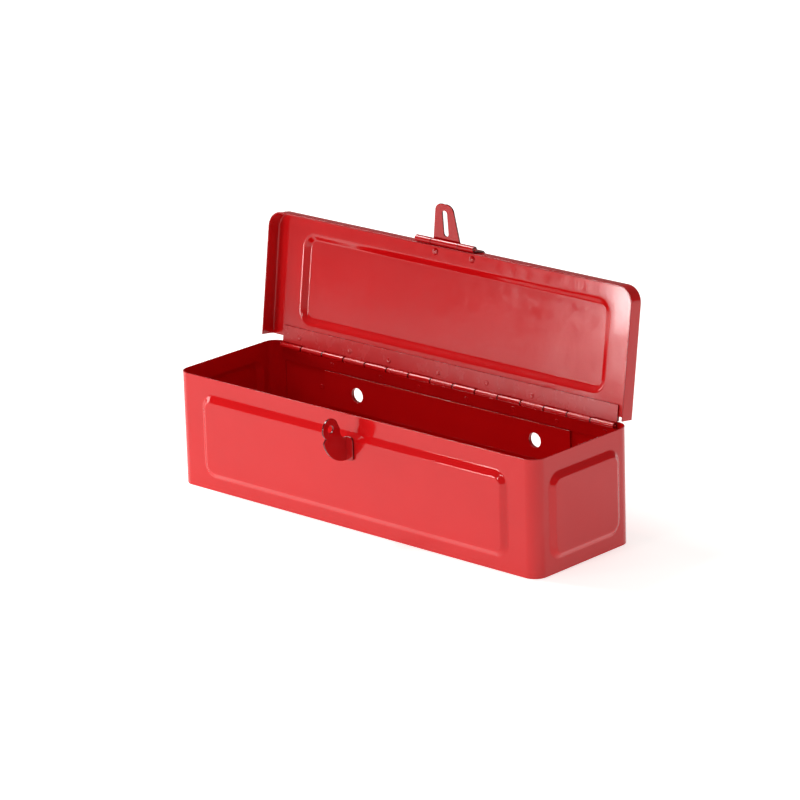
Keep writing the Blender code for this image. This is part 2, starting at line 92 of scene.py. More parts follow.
def enamel(name, look):
    material = bpy.data.materials.new(name)
    material.use_nodes = True
    tree = material.node_tree
    tree.nodes.clear()
    place = add(tree, "ShaderNodeTexCoord").outputs["Object"]
    cloud = add(tree, "ShaderNodeTexNoise", {
        "Vector": place, "Scale": 1 / look["cloudSize"], "Detail": look["cloudDetail"]})
    film = add(tree, "ShaderNodeMix", {
        "Factor": cloud.outputs["Fac"], 6: toLinear(look["thick"]), 7: toLinear(look["thin"])},
        data_type='RGBA')
    # Faces marked rim take the darker edge colour: a painted shade along sheared edges and in the gaps
    # between knuckles
    rim = add(tree, "ShaderNodeAttribute", attribute_name="rim")
    shadedEdge = add(tree, "ShaderNodeMath", {0: rim.outputs["Fac"], 1: look["edgeShade"]}, operation='MULTIPLY')
    colour = add(tree, "ShaderNodeMix", {
        "Factor": shadedEdge.outputs[0], 6: film.outputs[2], 7: toLinear(look["edge"])}, data_type='RGBA')
    dust = add(tree, "ShaderNodeTexNoise", {
        "Vector": place, "Scale": 1 / look["dustSize"], "Detail": look["dustDetail"]})
    rough = add(tree, "ShaderNodeMapRange", {
        "Value": dust.outputs["Fac"], "From Min": look["dustRange"][0], "From Max": look["dustRange"][1],
        "To Min": look["roughness"], "To Max": look["roughness"] + look["dustRoughness"]})
    wave = add(tree, "ShaderNodeTexNoise", {"Vector": place, "Scale": 1 / look["waveSize"], "Detail": 0.0})
    waves = add(tree, "ShaderNodeBump", {"Height": wave.outputs["Fac"], "Distance": look["waveHeight"]})
    peel = add(tree, "ShaderNodeTexNoise", {
        "Vector": place, "Scale": 1 / look["peelSize"], "Detail": look["peelDetail"]})
    skin = add(tree, "ShaderNodeBump", {
        "Height": peel.outputs["Fac"], "Distance": look["peelHeight"], "Normal": waves.outputs[0]})
    shader = add(tree, "ShaderNodeBsdfPrincipled", {
        "Base Color": colour.outputs[2], "Roughness": rough.outputs[0], "Normal": skin.outputs[0],
        "IOR": look["ior"], "Metallic": 0.0, "Coat Weight": look["coat"],
        "Coat Roughness": look["coatRoughness"]})
    add(tree, "ShaderNodeOutputMaterial", {"Surface": shader.outputs[0]})
    return material


enamelLook = {
    "thick": "#CC0B10", "thin": "#D51115", "edge": "#9A0A10", "edgeShade": 0.8,
    "cloudSize": 45 * mm, "cloudDetail": 3.0, "roughness": 0.09, "dustRoughness": 0.06,
    "dustSize": 9 * mm, "dustDetail": 4.0, "dustRange": (0.35, 0.75),
    "ior": 1.45, "coat": 0.1, "coatRoughness": 0.04,
    "peelSize": 1.9 * mm, "peelDetail": 1.5, "peelHeight": 0.03 * mm,
    "waveSize": 48 * mm, "waveHeight": 0.35 * mm}

# Gloss enamel sprayed on sheet steel: a deep wet red with a fine orange peel and soft mirror edges, its
# sheared edges painted darker as a painted shade
boxEnamel = enamel("gloss enamel on sheet steel", enamelLook)
# The same enamel on a rolled hinge: thicker in the corners, so a little lumpier; its knuckle ends and leaf
# edges are painted near black, a painted shade in the gaps between the knuckles
hingeEnamel = enamel("gloss enamel on rolled hinge", dict(
    enamelLook, peelSize=1.8 * mm, thick="#BC0C11", edgeShade=1.0, edge="#4A0508"))
# The lid's half of the hinge took a drier coat, so its knuckles shine less than the box's; its knuckle ends
# are painted near black too, a painted shade in the gaps
dryEnamel = enamel("dry enamel on rolled hinge", dict(
    enamelLook, peelSize=1.8 * mm, thick="#BC0C11", roughness=0.24, edgeShade=1.0, edge="#4A0508"))
# The same enamel on sheared plate, painted darker at its sheared edges and the ends of its rolls as a painted
# shade
plateEnamel = enamel("gloss enamel on sheared plate", dict(
    enamelLook, thick="#B00B10", thin="#BC0E13", waveHeight=0.08 * mm, edgeShade=1.0, edge="#5A070B"))
print("materials ready")


def newObject(name, data):
    item = bpy.data.objects.new(name, data)
    bpy.context.scene.collection.objects.link(item)
    return item


def frozen(item):
    # The mesh with its modifiers applied
    graph = bpy.context.evaluated_depsgraph_get()
    return bpy.data.meshes.new_from_object(item.evaluated_get(graph), depsgraph=graph)


def finishSheet(item, thickness, rounding, outward=None, rolled=False):
    # Gives an open surface its gauge, rounds every sheared edge and marks it for the darker edge colour, a
    # painted shade
    if thickness:
        # The edge faces get the second slot, which is how they are told apart below
        wall = item.modifiers.new("gauge", 'SOLIDIFY')
        wall.thickness = thickness
        wall.offset = -1.0
        wall.material_offset_rim = 1
        item.data.materials.append(boxEnamel)
        item.data.materials.append(boxEnamel)
    edge = item.modifiers.new("edge", 'BEVEL')
    edge.width = rounding
    edge.segments = edging["segments"]
    edge.limit_method = 'ANGLE'
    edge.angle_limit = math.radians(edging["angle"])
    edge.use_clamp_overlap = False
    flat = item.modifiers.new("flat", 'WEIGHTED_NORMAL')
    flat.keep_sharp = True
    item.data.shade_smooth()
    mesh = frozen(item)
    item.modifiers.clear()
    item.data = mesh
    # rim marks the faces that take the painted edge shade
    rim = mesh.attributes.new("rim", 'FLOAT', 'CORNER')
    for face in mesh.polygons:
        sheared = face.material_index == 1
        if outward is not None:
            sheared = (abs(face.normal.dot(outward)) > edging["facing"]) == rolled
        for corner in face.loop_indices:
            rim.data[corner].value = 1.0 if sheared else 0.0
        face.material_index = 0
    return item


def fit(item, material, body, slot, *nodes):
    item.data.materials.clear()
    item.data.materials.append(material)
    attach(item, body)
    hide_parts(*nodes)


def arc(centre, radius, start, end, count):
    angles = [math.radians(start + (end - start) * i / count) for i in range(count + 1)]
    return [(centre[0] + radius * math.cos(a), centre[1] + radius * math.sin(a)) for a in angles]


def circle(centre, radius, count):
    return arc(centre, radius, 0, 360 - 360 / count, count - 1)


def roundedOutline(uLow, uHigh, vLow, vHigh, radius, along, across, corner=12):
    # Runs anticlockwise, the same number of points whatever the radius
    corners = ((uHigh, vLow, 1, -1, -90), (uHigh, vHigh, 1, 1, 0),
               (uLow, vHigh, -1, 1, 90), (uLow, vLow, -1, -1, 180))
    bends = [arc((u - su * radius, v - sv * radius), radius, start, start + 90, corner)
             for u, v, su, sv, start in corners]
    points = []
    for i, bend in enumerate(bends):
        ahead = bends[(i + 1) % 4][0]
        count = (across, along)[i % 2]
        points += bend
        points += [tuple(Vector(bend[-1]).lerp(Vector(ahead), k / count)) for k in range(1, count)]
    return points


def lifted(outline, w):
    return [(u, v, w) for u, v in outline]


def addRings(shape, rings, turn):
    # Joins rings of equal count into a skin and closes the last one
    loops = [[shape.verts.new(turn @ Vector(point)) for point in ring] for ring in rings]
    for outer, inner in zip(loops, loops[1:]):
        for i, corner in enumerate(outer):
            j = (i + 1) % len(outer)
            shape.faces.new((corner, outer[j], inner[j], inner[i]))
    shape.faces.new(loops[-1])


def ramp(t, bend):
    # A straight slope with a round bend at its foot and at its brow
    if t < bend:
        return t * t / (2 * bend * (1 - bend))
    if t > 1 - bend:
        return 1 - (1 - t) ** 2 / (2 * bend * (1 - bend))
    return (t - bend / 2) / (1 - bend)


def pressedRings(uLow, uHigh, vLow, vHigh, along, across, level):
    rings = []
    for i in range(pressing["rings"] + 1):
        t = i / pressing["rings"]
        inset = pressing["step"] * t
        outline = roundedOutline(
            uLow + inset, uHigh - inset, vLow + inset, vHigh - inset, pressing["corner"] - inset,
            along, across)
        rings.append(lifted(outline, level + pressing["rise"] * ramp(t, pressing["bend"])))
    return rings


def toMesh(shape, name):
    bmesh.ops.remove_doubles(shape, verts=shape.verts, dist=near)
    mesh = bpy.data.meshes.new(name)
    shape.to_mesh(mesh)
    shape.free()
    return mesh


# Drawn in u and v and thick along w: upright puts them on X, Z and -Y, endOn on Y, Z and X
upright = Matrix(((1, 0, 0, 0), (0, 0, -1, 0), (0, 1, 0, 0), (0, 0, 0, 1)))
endOn = Matrix(((0, 0, 1, 0), (1, 0, 0, 0), (0, 1, 0, 0), (0, 0, 0, 1)))


def plate(name, outlines, thickness, rounding, place, rolled=False):
    # A flat sheet from closed outlines, the first its edge and the rest its holes
    # A rolled strip is drawn from its end, so its faces and its edges change places
    drawing = bpy.data.curves.new(name, 'CURVE')
    drawing.dimensions = '2D'
    drawing.fill_mode = 'BOTH'
    drawing.extrude = thickness / 2
    for outline in outlines:
        line = drawing.splines.new('POLY')
        line.points.add(len(outline) - 1)
        for point, (u, v) in zip(line.points, outline):
            point.co = (u, v, 0, 1)
        line.use_cyclic_u = True
    sketch = newObject(name + "Sketch", drawing)
    mesh = frozen(sketch)
    bpy.data.objects.remove(sketch)
    shape = bmesh.new()
    shape.from_mesh(mesh)
    bmesh.ops.remove_doubles(shape, verts=shape.verts, dist=near)
    bmesh.ops.recalc_face_normals(shape, faces=shape.faces)
    bmesh.ops.dissolve_limit(shape, angle_limit=edging["flatAngle"], verts=shape.verts, edges=shape.edges)
    shape.to_mesh(mesh)
    shape.free()
    mesh.transform(place)
    item = newObject(name, mesh)
    return finishSheet(item, 0.0, rounding, place.to_3x3() @ Vector((0, 0, 1)), rolled)


def merged(name, items):
    # One object out of several, each already in place
    shape = bmesh.new()
    for item in items:
        shape.from_mesh(item.data)
        bpy.data.objects.remove(item)
    mesh = bpy.data.meshes.new(name)
    shape.to_mesh(mesh)
    shape.free()
    mesh.shade_smooth()
    return newObject(name, mesh)


def stripOutline(line, thickness):
    # The outline of a bent strip seen from its end, from the line down its middle
    left, right = [], []
    for i, point in enumerate(line):
        before, after = Vector(line[max(i - 1, 0)]), Vector(line[min(i + 1, len(line) - 1)])
        along = (after - before).normalized()
        side = Vector((-along.y, along.x)) * thickness / 2
        left.append(tuple(Vector(point) + side))
        right.append(tuple(Vector(point) - side))
    return right + left[::-1]


def turned(name, profile, steps, place):
    # A solid of revolution about Z from (radius, level) pairs, its ends on the axis
    shape = bmesh.new()
    loops = []
    for radius, level in profile:
        if radius < near:
            loops.append([shape.verts.new((0, 0, level))] * steps)
        else:
            loops.append([shape.verts.new((x, y, level)) for x, y in circle((0, 0), radius, steps)])
    for low, high in zip(loops, loops[1:]):
        for i in range(steps):
            j = (i + 1) % steps
            ring = list(dict.fromkeys((low[i], low[j], high[j], high[i])))
            shape.faces.new(ring)
    mesh = toMesh(shape, name)
    mesh.transform(place)
    mesh.shade_smooth()
    return newObject(name, mesh)


def repeatTree(name):
    # Repeats the object's own mesh in a row, each copy moved a little at random
    tree = bpy.data.node_groups.new(name, 'GeometryNodeTree')
    for label, kind in (("Geometry", 'NodeSocketGeometry'), ("Count", 'NodeSocketInt'),
                        ("Start", 'NodeSocketVector'), ("Step", 'NodeSocketVector'),
                        ("Stray", 'NodeSocketVector'), ("Seed", 'NodeSocketInt'),
                        ("Material", 'NodeSocketMaterial')):
        tree.interface.new_socket(label, in_out='INPUT', socket_type=kind)
    tree.interface.new_socket("Geometry", in_out='OUTPUT', socket_type='NodeSocketGeometry')
    given = add(tree, "NodeGroupInput").outputs
    row = add(tree, "GeometryNodeMeshLine", {
        "Count": given["Count"], "Start Location": given["Start"], "Offset": given["Step"]})
    chance = add(tree, "FunctionNodeRandomValue", {
        0: (-1, -1, -1), 1: (1, 1, 1), "Seed": given["Seed"]}, data_type='FLOAT_VECTOR')
    move = add(tree, "ShaderNodeVectorMath", {0: chance.outputs[0], 1: given["Stray"]}, operation='MULTIPLY')
    strayed = add(tree, "GeometryNodeSetPosition", {"Geometry": row.outputs[0], "Offset": move.outputs[0]})
    copies = add(tree, "GeometryNodeInstanceOnPoints", {
        "Points": strayed.outputs[0], "Instance": given["Geometry"]})
    real = add(tree, "GeometryNodeRealizeInstances", {0: copies.outputs[0]})
    painted = add(tree, "GeometryNodeSetMaterial", {
        "Geometry": real.outputs[0], "Material": given["Material"]})
    add(tree, "NodeGroupOutput", {0: painted.outputs[0]})
    return tree


def applyTree(item, tree, values):
    step = item.modifiers.new("nodes", 'NODES')
    step.node_group = tree
    for socket in tree.interface.items_tree:
        if socket.in_out == 'INPUT' and socket.name in values:
            step[socket.identifier] = values[socket.name]
    mesh = frozen(item)
    item.modifiers.clear()
    item.data = mesh
    return item


rowTree = repeatTree("evenRow")

weld = {"radius": 2.3 * mm, "ring": 1.7 * mm, "rise": 0.3 * mm, "dip": 0.03 * mm,
        "dish": 0.6, "steps": 20, "stray": (4 * mm, 0.9 * mm, 0), "seed": 5}


def weldRow(name, count, first, step, place):
    # Spot welds, each a shallow ring left by the electrode
    profile = [(0, -gap / 2), (weld["radius"], -gap / 2), (weld["radius"], 0),
               (weld["ring"], weld["rise"]), (weld["ring"] * weld["dish"], weld["dip"]), (0, weld["dip"] / 2)]
    mark = turned(name, profile, weld["steps"], Matrix())
    row = applyTree(mark, rowTree, {
        "Count": count, "Start": (first, 0, 0), "Step": (step, 0, 0), "Stray": weld["stray"],
        "Seed": weld["seed"], "Material": boxEnamel})
    row.data.transform(place)
    return row


# Box: one sheet wrapped round the front and the sides, with a panel pressed into each wall
wrap = {
    "radius": 12 * mm, "return": 2 * mm, "frontMargin": 29 * mm,
    "sideMargin": 15 * mm, "topMargin": 13.8 * mm,
    "bottomMargin": 11 * mm, "along": 24, "rows": 12, "cornerSteps": 16, "rounding": 0.35 * mm}


def addWall(shape, half, margin, turn):
    straight = half - wrap["radius"]
    border = roundedOutline(-straight, straight, 0, height, 0.0, wrap["along"], wrap["rows"])
    foot = pressedRings(
        margin - half, half - margin, wrap["bottomMargin"], height - wrap["topMargin"],
        wrap["along"], wrap["rows"], 0.0)
    addRings(shape, [lifted(border, 0.0)] + foot, turn)


def addStrip(shape, plan):
    # A wall standing on a line of plan points that runs anticlockwise round the box
    rows = [[shape.verts.new((x, y, height * i / wrap["rows"])) for x, y in plan]
            for i in range(wrap["rows"] + 1)]
    for low, high in zip(rows, rows[1:]):
        for i in range(len(plan) - 1):
            shape.faces.new((low[i], low[i + 1], high[i + 1], high[i]))


def makeWrapper():
    shape = bmesh.new()
    addWall(shape, halfLength, wrap["frontMargin"], Matrix.Translation((0, frontY, 0)) @ upright)
    for side in (-1, 1):
        turn = Matrix.Rotation(side * math.pi / 2, 4, 'Z') @ upright
        addWall(shape, backY, wrap["sideMargin"], Matrix.Translation((side * halfLength, 0, 0)) @ turn)
    r, steps = wrap["radius"], wrap["cornerSteps"]
    x, y = halfLength - r, backY - r
    addStrip(shape, arc((-x, -y), r, 180, 270, steps))
    addStrip(shape, arc((x, -y), r, 270, 360, steps))
    addStrip(shape, arc((x, y), r, 0, 90, steps) + [(x - wrap["return"], backY)])
    addStrip(shape, [(wrap["return"] - x, backY)] + arc((-x, y), r, 90, 180, steps))
    item = newObject("wrappedWalls", toMesh(shape, "wrappedWalls"))
    finishSheet(item, sheet, wrap["rounding"])
    fit(item, boxEnamel, "box", "box_paint", "box_wrapper")


makeWrapper()
print("walls pressed")


# Back wall, stiffening plate and floor
back = {"hole": 13 * mm, "spacing": 203.2 * mm, "depth": 33 * mm, "holeSteps": 48,
        "rounding": 0.3 * mm, "stiffenerRounding": 0.5 * mm, "stiffenerCorner": 1.5 * mm, "cornerSteps": 4,
        "floorRounding": 0.35 * mm, "weldX": 141 * mm}


def backHoles():
    return [circle((side * back["spacing"] / 2, height - back["depth"]), back["hole"] / 2, back["holeSteps"])
            for side in (-1, 1)]


def makeBack():
    low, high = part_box("back_wall")
    outline = [(low.x, 0), (high.x, 0), (high.x, height), (low.x, height)]
    wall = plate(
        "backWall", [outline] + backHoles(), sheet, back["rounding"],
        Matrix.Translation((0, (low.y + high.y) / 2, 0)) @ upright)
    fit(wall, boxEnamel, "box", "box_paint", "back_wall")
    low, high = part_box("stiffener_plate")
    outline = roundedOutline(
        low.x, high.x, low.z, high.z, back["stiffenerCorner"], 1, 1, corner=back["cornerSteps"])
    strip = plate(
        "stiffeningPlate", [outline] + backHoles(), high.y - low.y, back["stiffenerRounding"],
        Matrix.Translation((0, (low.y + high.y) / 2, 0)) @ upright)
    welds = weldRow("stiffenerWelds", 2, -back["weldX"], 2 * back["weldX"], Matrix.Translation(
        (0, low.y, height - back["depth"])) @ Matrix.Rotation(math.pi / 2, 4, 'X'))
    strip = merged("stiffeningPlate", [strip, welds])
    fit(strip, boxEnamel, "box", "box_paint", "stiffener_plate")
    low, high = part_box("floor_plate")
    outline = roundedOutline(low.x, high.x, low.y, high.y, wrap["radius"] - sheet - gap, 1, 1)
    floor = plate(
        "floorPlate", [outline], high.z, back["floorRounding"], Matrix.Translation((0, 0, high.z / 2)))
    fit(floor, boxEnamel, "box", "box_paint", "floor_plate")


makeBack()
print("back and floor in")


# Lid: a shallow pressed pan, its rim folded down on three sides
lid = {
    "clearance": 1 * mm, "rim": 13 * mm, "rimSteps": 3, "fold": 2.8 * mm, "foldSteps": 8, "corner": 14.2 * mm,
    "frontMargin": 15 * mm, "rearMargin": 21 * mm, "endMargin": 31 * mm, "setback": 7.5 * mm,
    "heel": 3.39 * mm, "overrun": 40 * mm, "along": 30, "across": 14, "borderRings": 5,
    "rounding": 0.4 * mm}
lidInner = height + gap
lidFace = frontY - lid["clearance"] - sheet
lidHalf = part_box("lid_pan")[1].x
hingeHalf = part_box("hinge_box_leaf")[1].x


def makeLid():
    top = lidInner + sheet
    rear = hingeAxis.y + lid["overrun"]     # cut away at the heel below
    along, rows = lid["along"], lid["across"]

    def outline(inset):
        return roundedOutline(
            -lidHalf + inset, lidHalf - inset, lidFace + inset, rear - inset, lid["corner"] - inset,
            along, rows)

    brink = lidInner - lid["rim"]
    rings = [lifted(outline(0), brink + (top - lid["fold"] - brink) * i / lid["rimSteps"])
             for i in range(lid["rimSteps"])]
    for i in range(lid["foldSteps"] + 1):
        a = math.pi / 2 * i / lid["foldSteps"]
        rings.append(lifted(outline(lid["fold"] * (1 - math.cos(a))), top + lid["fold"] * (math.sin(a) - 1)))
    pressed = pressedRings(
        lid["endMargin"] - lidHalf, lidHalf - lid["endMargin"], lidFace + lid["frontMargin"],
        hingeAxis.y - lid["rearMargin"], along, rows, top)
    folded = rings[-1]
    for i in range(1, lid["borderRings"]):
        t = i / lid["borderRings"]
        rings.append([tuple(Vector(a).lerp(Vector(b), t)) for a, b in zip(folded, pressed[0])])
    rings += pressed
    shape = bmesh.new()
    addRings(shape, rings, Matrix())
    bmesh.ops.remove_doubles(shape, verts=shape.verts, dist=near)

    def cut(point, normal, clear):
        bmesh.ops.bisect_plane(
            shape, geom=shape.verts[:] + shape.edges[:] + shape.faces[:], plane_co=point, plane_no=normal,
            clear_outer=clear, dist=near / 10)

    notchX, notchY = hingeHalf + gap, hingeAxis.y - lid["setback"]
    cut((0, hingeAxis.y - lid["heel"], 0), (0, 1, 0), True)
    cut((0, notchY, 0), (0, 1, 0), False)
    for side in (-1, 1):
        cut((side * notchX, 0, 0), (side, 0, 0), False)
    notched = [f for f in shape.faces
               if f.calc_center_median().y > notchY and abs(f.calc_center_median().x) > notchX]
    bmesh.ops.delete(shape, geom=notched, context='FACES')
    item = newObject("lidPan", toMesh(shape, "lidPan"))
    item.data.transform(opened)
    finishSheet(item, sheet, lid["rounding"])
    fit(item, boxEnamel, "lid", "lid_paint", "lid_pan")


makeLid()
print("lid pressed")


# Hinge: two leaves and the knuckles rolled from them, repeated along the pin
hinge = {
    "knuckles": 15, "pitch": 25.4 * mm, "gap": 0.4 * mm, "space": 1.1 * mm, "bulge": 0.32 * mm,
    "barrel": 2.5 * mm, "leaf": 1 * mm, "roll": 292, "rollSteps": 28, "rollStart": 1.76 * mm,
    "boxLeaf": 14.2 * mm, "lidLeaf": 17.5 * mm, "cutout": 0.4 * mm, "rounding": 0.12 * mm, "tuck": 0.8 * mm,
    "pin": 1.1 * mm, "weldDrop": 8.5 * mm, "boxWelds": (7, -128 * mm, 51 * mm),
    "lidWelds": (6, -168 * mm, 53.4 * mm)}


def makeLeaf(name, leafHeight, ownFirst, side, turn, body, node, marks, coat):
    # Drawn hanging from the pin, its sheet on the +Y side of the pin where side is 1
    start, pitch, clear = -hingeHalf, hinge["pitch"], hinge["barrel"] + hinge["cutout"]
    middle = hinge["barrel"] - hinge["leaf"] / 2
    comb = [(start, -leafHeight), (-start, -leafHeight)]
    own = [i for i in range(hinge["knuckles"]) if (i % 2 == 0) == ownFirst]
    for i in reversed(range(hinge["knuckles"])):
        low = start + i * pitch + hinge["gap"] / 2
        high = start + (i + 1) * pitch - hinge["gap"] / 2
        if i in own:
            comb += [(high, -clear), (high, -hinge["tuck"]), (low, -hinge["tuck"]), (low, -clear)]
    if not ownFirst:
        comb += [(start, -clear)]
        comb.insert(2, (-start, -clear))
    leaf = plate(
        name + "Sheet", [comb], hinge["leaf"], hinge["rounding"],
        Matrix.Translation((0, side * middle, 0)) @ upright)
    rolled = [(side * middle, -hinge["rollStart"])]
    rolled += [(side * y, z) for y, z in arc((0, 0), middle, 0, hinge["roll"], hinge["rollSteps"])]
    outline = stripOutline(rolled, hinge["leaf"] * rollShare)
    knuckle = plate(name + "Knuckle", [outline], pitch - hinge["space"], hinge["bulge"], endOn, True)
    first = start + (own[0] + 0.5) * pitch
    row = applyTree(knuckle, rowTree, {
        "Count": len(own), "Start": (first, 0, 0), "Step": (2 * pitch, 0, 0), "Material": coat})
    onLeaf = Matrix.Translation((0, side * (hinge["barrel"] - hinge["leaf"]), -hinge["weldDrop"]))
    welds = weldRow(name + "Welds", *marks, onLeaf @ Matrix.Rotation(side * math.pi / 2, 4, 'X'))
    item = merged(name, [leaf, row, welds])
    item.data.transform(turn)
    fit(item, coat, body, "hinge_paint", node)


makeLeaf("hingeBoxLeaf", hinge["boxLeaf"], True, 1, Matrix.Translation(hingeAxis),
         "box", "hinge_box_leaf", hinge["boxWelds"], hingeEnamel)
makeLeaf("hingeLidLeaf", hinge["lidLeaf"], False, -1,
         opened @ Matrix.Translation(hingeAxis) @ Matrix.Rotation(-math.pi / 2, 4, 'X'),
         "lid", "hinge_lid_leaf", hinge["lidWelds"], dryEnamel)
print("hinge rolled")


# Hasp: an angle over the lid's edge, its tongue and the staple that the tongue drops over
hasp = {
    "half": 33 * mm, "sheet": 1.5 * mm, "flange": 13 * mm, "barrel": 2.85 * mm, "roll": 280,
    "rollSteps": 26, "bendSteps": 10, "shoulder": 0.6 * mm, "rounding": 0.3 * mm, "tipTaper": 4,
    "tongueRoot": 30 * mm, "tongueTip": 21 * mm, "reach": 34.5 * mm, "tipCorner": 7.5 * mm, "gap": 0.4 * mm,
    "slot": 5.4 * mm, "slotStart": 5.6 * mm, "slotEnd": 28.7 * mm, "tongueOffset": 2.1 * mm, "tuck": 1 * mm,
    "pin": 1.5 * mm}


def makeHaspPlate():
    # In the shut pose: flange on the lid, bend over its fold, front leg down to the pin
    face = lidFace - gap - hasp["sheet"] / 2
    level = lidInner + sheet + gap + hasp["sheet"] / 2
    bendRadius = lid["fold"] + gap + hasp["sheet"] / 2
    bend = (face + bendRadius, level - bendRadius)
    y, z = shutHaspAxis.y, shutHaspAxis.z
    top = [(lidFace + hasp["flange"], level)]
    top += arc(bend, bendRadius, 90, 180, hasp["bendSteps"])
    room = hasp["barrel"] + hasp["gap"]
    shoulder = z + room + hasp["shoulder"]
    pieces = [plate("haspBridge", [stripOutline(top + [(face, shoulder)], hasp["sheet"])], 2 * hasp["half"],
                    hasp["rounding"], endOn, True)]
    middle = hasp["barrel"] - hasp["sheet"] / 2
    turn = arc((0, 0), middle, 0, hasp["roll"], hasp["rollSteps"])
    curl = [(face, shoulder + hasp["tuck"])]
    curl += [(y + (face - y) / middle * u, z - v) for u, v in turn]
    inner = hasp["tongueRoot"] / 2 + hasp["gap"]
    for side in (-1, 1):
        pieces.append(plate(
            "haspKnuckle", [stripOutline(curl, hasp["sheet"] * rollShare)],
            hasp["half"] - inner, hasp["rounding"],
            Matrix.Translation((side * (hasp["half"] + inner) / 2, 0, 0)) @ endOn, True))
    item = merged("haspPlate", pieces)
    item.data.transform(opened)
    fit(item, plateEnamel, "lid", "hardware_paint", "hasp_plate")


def makeTongue():
    root, tip = hasp["tongueRoot"] / 2, hasp["tongueTip"] / 2
    corner, reach, steps, taper = hasp["tipCorner"], hasp["reach"], hasp["bendSteps"], hasp["tipTaper"]
    edge = [(root, -hasp["tuck"]), (-root, -hasp["tuck"])]
    edge += arc((corner - tip, corner - reach), corner, 180 + taper, 270, steps)
    edge += arc((tip - corner, corner - reach), corner, 270, 360 - taper, steps)
    slot = arc((0, -hasp["slotStart"] - hasp["slot"] / 2), hasp["slot"] / 2, 0, 180, steps)
    slot += arc((0, hasp["slot"] / 2 - hasp["slotEnd"]), hasp["slot"] / 2, 180, 360, steps)
    blade = plate(
        "tongueBlade", [edge, slot], hasp["sheet"], hasp["rounding"],
        Matrix.Translation((0, -hasp["tongueOffset"], 0)) @ upright)
    middle = hasp["barrel"] - hasp["sheet"] / 2
    curl = [(-middle, -2 * hasp["tuck"])]
    curl += [(-u, v) for u, v in arc((0, 0), middle, 0, hasp["roll"], hasp["rollSteps"])]
    roll = plate(
        "tongueRoll", [stripOutline(curl, hasp["sheet"] * rollShare)],
        2 * root, hasp["rounding"], endOn, True)
    item = merged("haspTongue", [blade, roll])
    item.data.transform(tongueUp)
    fit(item, plateEnamel, "tongue", "hardware_paint", "hasp_tongue")


pinEnd = {"nose": 0.35, "steps": 24}


def pin(name, node, radius, body, slot, place):
    low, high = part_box(node)
    half, nose = (high.x - low.x) / 2, radius * pinEnd["nose"]
    end = [(0, -half), (radius - nose, -half), (radius - nose / 3, nose / 3 - half), (radius, nose - half)]
    profile = end + [(r, -level) for r, level in reversed(end)]
    item = turned(name, profile, pinEnd["steps"], place @ Matrix.Rotation(math.pi / 2, 4, 'Y'))
    fit(item, plateEnamel, body, slot, node)


makeHaspPlate()
makeTongue()
pin("hingePin", "hinge_pin", hinge["pin"], "box", "hinge_paint", Matrix.Translation(hingeAxis))
pin("haspPin", "hasp_pin", hasp["pin"], "lid", "hardware_paint", Matrix.Translation(haspAxis))
print("hasp hung")

# Rivets that hold the hasp plate to the lid
rivet = {"spacing": 41.5 * mm, "setback": 8 * mm, "shank": 1.6 * mm, "head": 3.1 * mm, "rise": 1.4 * mm,
         "stand": 0.06 * mm, "domeSteps": 7, "steps": 28}


def makeRivets():
    low = lidInner - rivet["stand"]
    high = lidInner + sheet + gap + hasp["sheet"] + rivet["stand"]
    dome = arc((0, 0), 1.0, 0, 90, rivet["domeSteps"])
    profile = [(0, low - rivet["rise"])]
    profile += [(rivet["head"] * u, low - rivet["rise"] * v) for u, v in dome[-2::-1]]
    profile += [(rivet["shank"], low), (rivet["shank"], high)]
    profile += [(rivet["head"] * u, high + rivet["rise"] * v) for u, v in dome[:-1]]
    profile += [(0, high + rivet["rise"])]
    one = turned("haspRivets", profile, rivet["steps"], Matrix())
    applyTree(one, rowTree, {
        "Count": 2, "Start": (-rivet["spacing"] / 2, lidFace + rivet["setback"], 0),
        "Step": (rivet["spacing"], 0, 0), "Material": plateEnamel})
    one.data.transform(opened)
    fit(one, plateEnamel, "lid", "hardware_paint", "hasp_rivet_left", "hasp_rivet_right")


makeRivets()
print("rivets set")

# Staple: a horn with a padlock hole, standing on a foot welded to the front
staple = {
    "sheet": 1.8 * mm, "foot": 8 * mm, "outer": 27.3 * mm, "inner": 7 * mm, "headRadius": 9.2 * mm,
    "headReach": 18 * mm, "headRise": 4 * mm, "hole": 6.8 * mm, "throat": -8, "shoulder": -14, "headEnd": 160,
    "tip": 15, "rounding": 0.35 * mm, "footCorner": 3 * mm, "footSteps": 6,
    "outerSteps": 20, "headSteps": 26, "innerSteps": 16, "holeSteps": 24}


